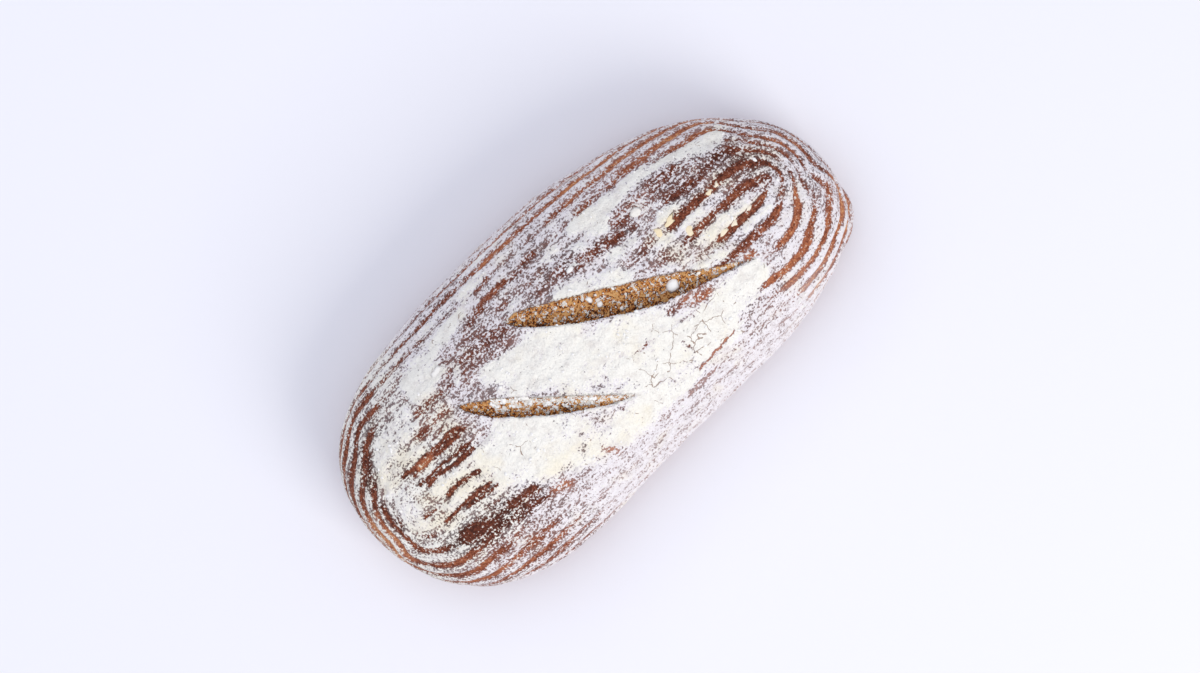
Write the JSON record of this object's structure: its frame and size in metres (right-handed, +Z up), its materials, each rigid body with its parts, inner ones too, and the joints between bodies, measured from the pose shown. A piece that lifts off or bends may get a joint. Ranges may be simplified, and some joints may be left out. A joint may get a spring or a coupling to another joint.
{
  "type": "sourdough loaf",
  "caption": "Oval hearth loaf with a domed, ring-marked, flour-dusted crust, slanting scores across the crown and a flat base.",
  "frame": {"origin": "on the base plane, under the middle of the loaf's bounding box", "axes": "+X along the loaf's length, towards its narrower end with the low foot; +Z up through the crown"},
  "size_m": [0.3, 0.1492, 0.078],
  "materials": {
    "crust": "matt baked crust, brown with a dusting of white flour"
  },
  "bodies": {
    "root": {"loaf": "crust"}
  },
  "joints": []
}
